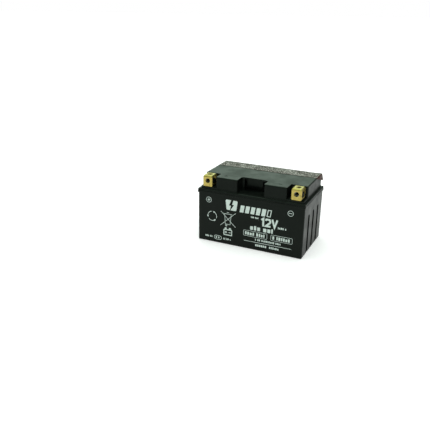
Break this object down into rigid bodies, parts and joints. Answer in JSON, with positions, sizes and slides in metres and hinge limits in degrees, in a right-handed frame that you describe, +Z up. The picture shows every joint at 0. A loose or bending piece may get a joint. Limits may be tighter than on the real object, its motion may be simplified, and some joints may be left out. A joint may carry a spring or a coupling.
{
  "type": "motorcycle battery",
  "caption": "Low rectangular sealed motorcycle battery with a stepped cover, bent strip terminals with captive nuts in the front corners and a foil seal over the filler ports.",
  "frame": {"origin": "centre of the flat base, on the surface the battery stands on", "axes": "+X along the length towards the negative terminal, -Y out of the printed front where the terminals are, +Z up"},
  "size_m": [0.15, 0.087, 0.093],
  "materials": {
    "container_plastic": "black moulded polypropylene with a satin skin and white printed marks on the front",
    "cover_plastic": "black moulded polypropylene, satin on top",
    "seal_foil": "printed and crinkled heat-seal foil, dark red-brown on its pull tail",
    "valve_rubber": "soft black rubber",
    "porous_disc": "sintered, off-white and porous",
    "terminal_brass": "bright yellow passivated strip, lightly brushed",
    "nut_steel": "zinc-plated steel",
    "lead": "dull cast lead",
    "red_resin": "poured red sealing resin",
    "blue_resin": "poured blue sealing resin",
    "positive_paste": "dark brown lead oxide paste on a cast lead grid",
    "negative_paste": "grey spongy lead paste on a cast lead grid",
    "glass_mat": "white absorbent glass mat"
  },
  "bodies": {
    "battery": {"container": "container_plastic", "cover": "cover_plastic", "flame_arrestor": "porous_disc", "positive_terminal": "terminal_brass", "negative_terminal": "terminal_brass", "positive_nut_rest": "cover_plastic", "negative_nut_rest": "cover_plastic", "positive_post": "lead", "negative_post": "lead", "positive_post_seal": "red_resin", "negative_post_seal": "blue_resin", "cell_connector_1": "lead", "cell_connector_2": "lead", "cell_connector_3": "lead", "cell_connector_4": "lead", "cell_connector_5": "lead", "positive_plates_1": "positive_paste", "positive_plates_2": "positive_paste", "positive_plates_3": "positive_paste", "positive_plates_4": "positive_paste", "positive_plates_5": "positive_paste", "positive_plates_6": "positive_paste", "negative_plates_1": "negative_paste", "negative_plates_2": "negative_paste", "negative_plates_3": "negative_paste", "negative_plates_4": "negative_paste", "negative_plates_5": "negative_paste", "negative_plates_6": "negative_paste", "separators_1": "glass_mat", "separators_2": "glass_mat", "separators_3": "glass_mat", "separators_4": "glass_mat", "separators_5": "glass_mat", "separators_6": "glass_mat"},
    "foil": {"foil_seal": "seal_foil"},
    "relief_valve": {"relief_valve_cap": "valve_rubber"},
    "loose_nut_positive": {"positive_nut": "nut_steel"},
    "loose_nut_negative": {"negative_nut": "nut_steel"}
  },
  "joints": [
    {"name": "foil_lift", "type": "slide", "parent": "battery", "child": "foil", "axis": [0, 0, 1], "range_m": [0, 0.03]},
    {"name": "relief_valve_lift", "type": "slide", "parent": "battery", "child": "relief_valve", "axis": [0, 0, 1], "range_m": [0, 0.0008], "stiffness_N_per_m": 100},
    {"name": "positive_nut_slide", "type": "slide", "parent": "battery", "child": "loose_nut_positive", "axis": [-1, 0, 0], "range_m": [0, 0.014]},
    {"name": "negative_nut_slide", "type": "slide", "parent": "battery", "child": "loose_nut_negative", "axis": [1, 0, 0], "range_m": [0, 0.014]}
  ]
}
